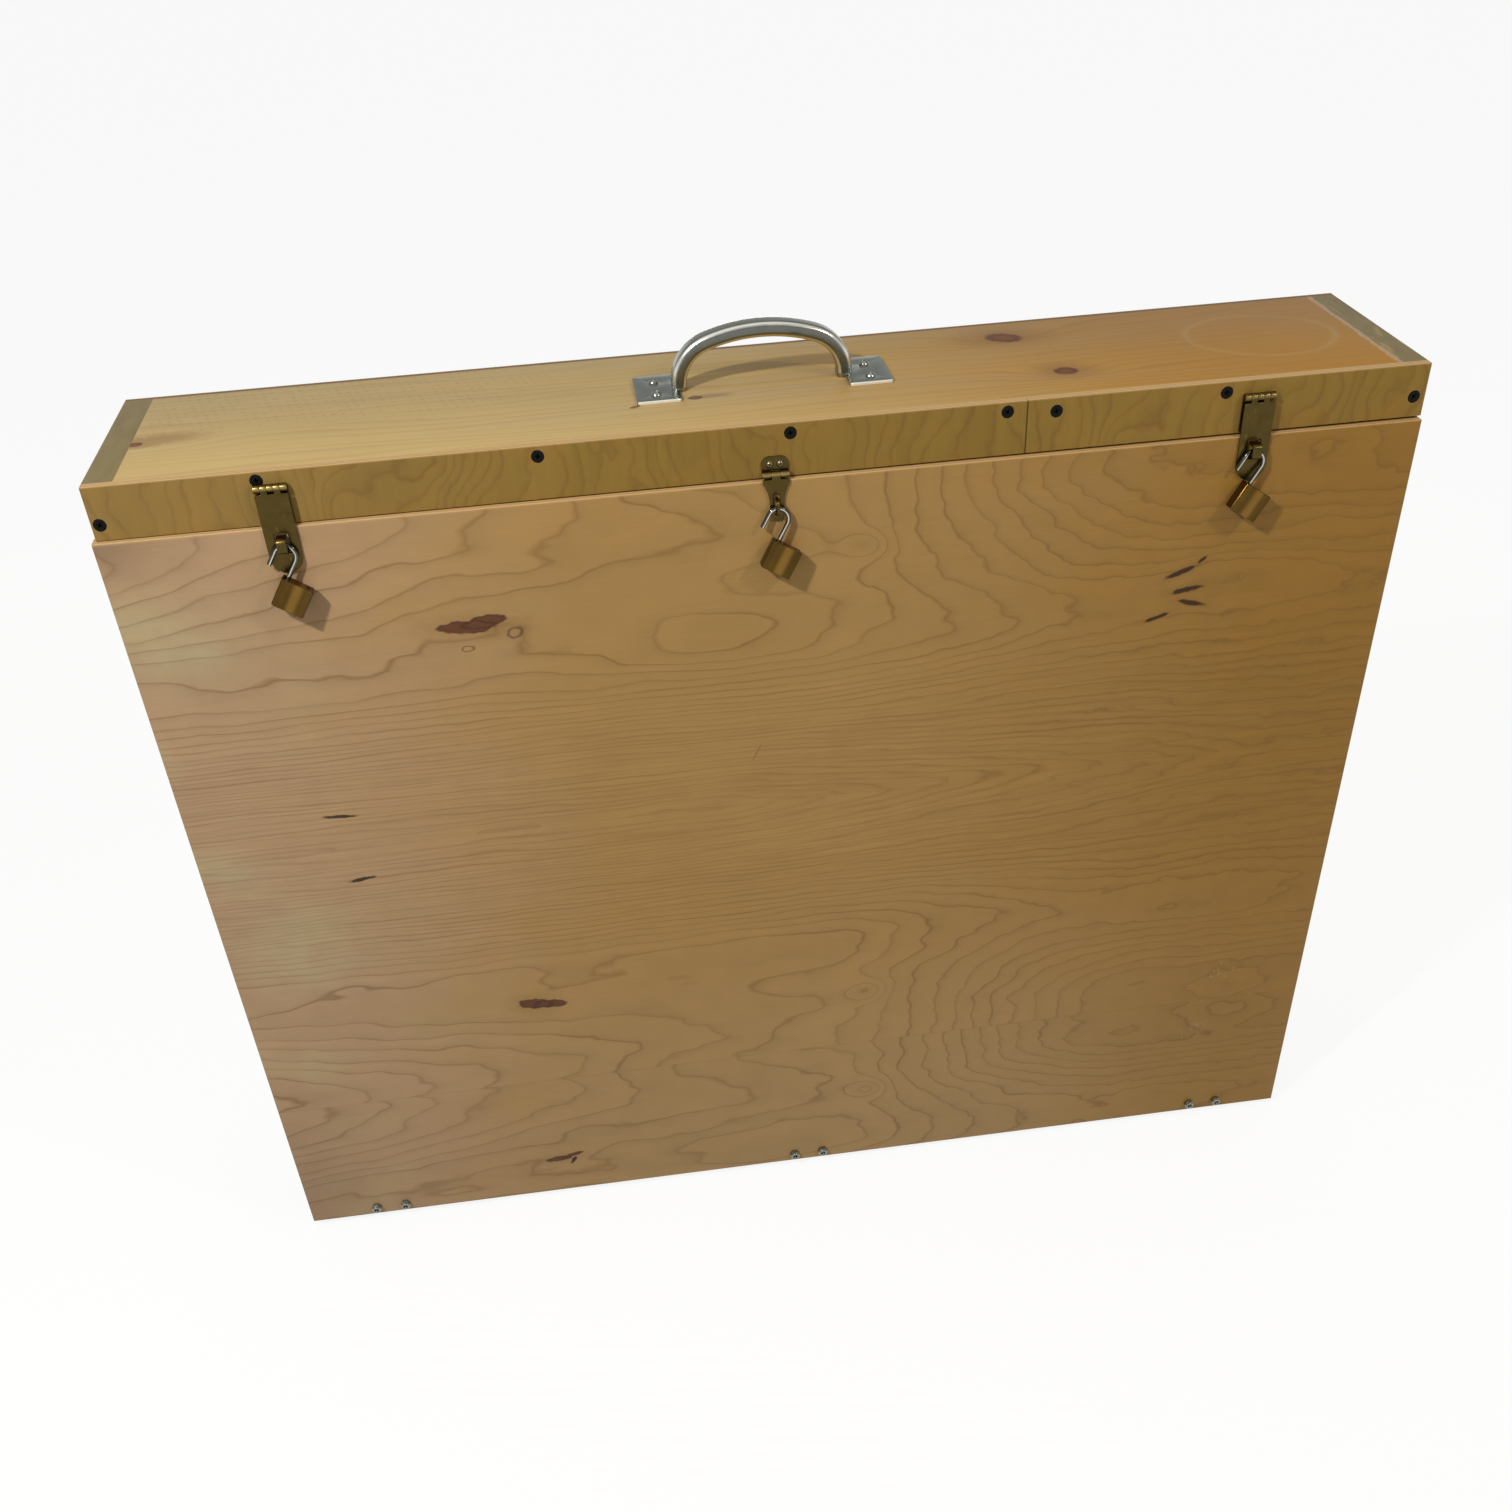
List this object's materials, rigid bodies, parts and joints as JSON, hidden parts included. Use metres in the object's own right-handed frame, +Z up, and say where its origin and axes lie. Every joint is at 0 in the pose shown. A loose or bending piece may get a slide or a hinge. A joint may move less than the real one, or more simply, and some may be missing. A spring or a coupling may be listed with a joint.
{
  "type": "wooden art box",
  "caption": "Shallow upright wooden box with a plywood door hinged along the bottom, hasps with padlocks along the top edge and a steel carrying handle.",
  "frame": {"origin": "centre of the underside of the case, midway between its front and back board edges", "axes": "+X along the width to the right as seen from the front, +Y towards the back panel, +Z up"},
  "size_m": [0.8153, 0.1664, 0.667],
  "materials": {
    "board_wood": "sanded pine",
    "plywood": "clear-coated plywood",
    "black_steel": "black",
    "zinc_steel": "bright zinc",
    "antique_brass": "dark aged brass",
    "lock_brass": "satin brass",
    "nylon": "plain"
  },
  "bodies": {
    "case": {"side_board_left": "board_wood", "side_board_right": "board_wood", "top_board": "board_wood", "bottom_board": "board_wood", "back_panel": "plywood", "front_strip_left": "plywood", "front_strip_right": "plywood", "strip_screws": "black_steel", "corner_screws": "zinc_steel", "back_panel_screws": "zinc_steel", "hinge_wood_screws": "zinc_steel", "hasp_leaf_screws": "antique_brass", "hasp_plate_screws": "antique_brass", "handle_screws": "zinc_steel", "carry_handle": "zinc_steel", "left_door_hinge_frame_leaf": "zinc_steel", "left_door_hinge_pin": "zinc_steel", "left_hasp_leaf": "antique_brass", "left_hasp_pin": "antique_brass", "middle_door_hinge_frame_leaf": "zinc_steel", "middle_door_hinge_pin": "zinc_steel", "middle_hasp_leaf": "antique_brass", "middle_hasp_pin": "antique_brass", "right_door_hinge_frame_leaf": "zinc_steel", "right_door_hinge_pin": "zinc_steel", "right_hasp_leaf": "antique_brass", "right_hasp_pin": "antique_brass"},
    "door": {"door_panel": "plywood", "door_bolts": "zinc_steel", "lock_nuts": "zinc_steel", "nut_inserts": "nylon", "left_door_hinge_door_leaf": "zinc_steel", "left_hasp_staple": "antique_brass", "middle_door_hinge_door_leaf": "zinc_steel", "middle_hasp_staple": "antique_brass", "right_door_hinge_door_leaf": "zinc_steel", "right_hasp_staple": "antique_brass"},
    "left_strap": {"left_hasp_strap": "antique_brass"},
    "left_shackle": {"left_shackle": "zinc_steel"},
    "left_padlock": {"left_padlock_body": "lock_brass", "left_shackle_retainer": "zinc_steel", "left_padlock_latch": "zinc_steel", "left_padlock_plug": "lock_brass"},
    "middle_strap": {"middle_hasp_strap": "antique_brass"},
    "middle_shackle": {"middle_shackle": "zinc_steel"},
    "middle_padlock": {"middle_padlock_body": "lock_brass", "middle_shackle_retainer": "zinc_steel", "middle_padlock_latch": "zinc_steel", "middle_padlock_plug": "lock_brass"},
    "right_strap": {"right_hasp_strap": "antique_brass"},
    "right_shackle": {"right_shackle": "zinc_steel"},
    "right_padlock": {"right_padlock_body": "lock_brass", "right_shackle_retainer": "zinc_steel", "right_padlock_latch": "zinc_steel", "right_padlock_plug": "lock_brass"}
  },
  "joints": [
    {"name": "door_swing", "type": "hinge", "parent": "case", "child": "door", "pos_m": [0, -0.07015, 0.0028], "axis": [1, 0, 0], "range_deg": [0, 90]},
    {"name": "left_strap_lift", "type": "hinge", "parent": "case", "child": "left_strap", "pos_m": [-0.2998, -0.0781, 0.6195], "axis": [-1, 0, 0], "range_deg": [0, 178]},
    {"name": "left_shackle_tilt", "type": "hinge", "parent": "door", "child": "left_shackle", "pos_m": [-0.2998, -0.0824, 0.58593], "axis": [-1, 0, 0], "range_deg": [0, 90]},
    {"name": "left_padlock_swivel", "type": "hinge", "parent": "left_shackle", "child": "left_padlock", "pos_m": [-0.29435, -0.08362, 0.57596], "axis": [-0.5446, -0.1022, -0.8324], "range_deg": [0, 150]},
    {"name": "middle_strap_lift", "type": "hinge", "parent": "case", "child": "middle_strap", "pos_m": [-0.0027, -0.0782, 0.599], "axis": [-1, 0, 0], "range_deg": [0, 156]},
    {"name": "middle_shackle_tilt", "type": "hinge", "parent": "door", "child": "middle_shackle", "pos_m": [-0.0027, -0.0822, 0.57925], "axis": [-1, 0, 0], "range_deg": [0, 90]},
    {"name": "middle_padlock_swivel", "type": "hinge", "parent": "middle_shackle", "child": "middle_padlock", "pos_m": [0.00287, -0.0834, 0.56948], "axis": [-0.515, -0.1045, -0.8508], "range_deg": [0, 150]},
    {"name": "right_strap_lift", "type": "hinge", "parent": "case", "child": "right_strap", "pos_m": [0.2976, -0.0781, 0.619], "axis": [-1, 0, 0], "range_deg": [0, 178]},
    {"name": "right_shackle_tilt", "type": "hinge", "parent": "door", "child": "right_shackle", "pos_m": [0.2976, -0.0824, 0.58663], "axis": [-1, 0, 0], "range_deg": [0, 90]},
    {"name": "right_padlock_swivel", "type": "hinge", "parent": "right_shackle", "child": "right_padlock", "pos_m": [0.30302, -0.08363, 0.57661], "axis": [-0.5519, -0.1016, -0.8277], "range_deg": [0, 150]}
  ]
}
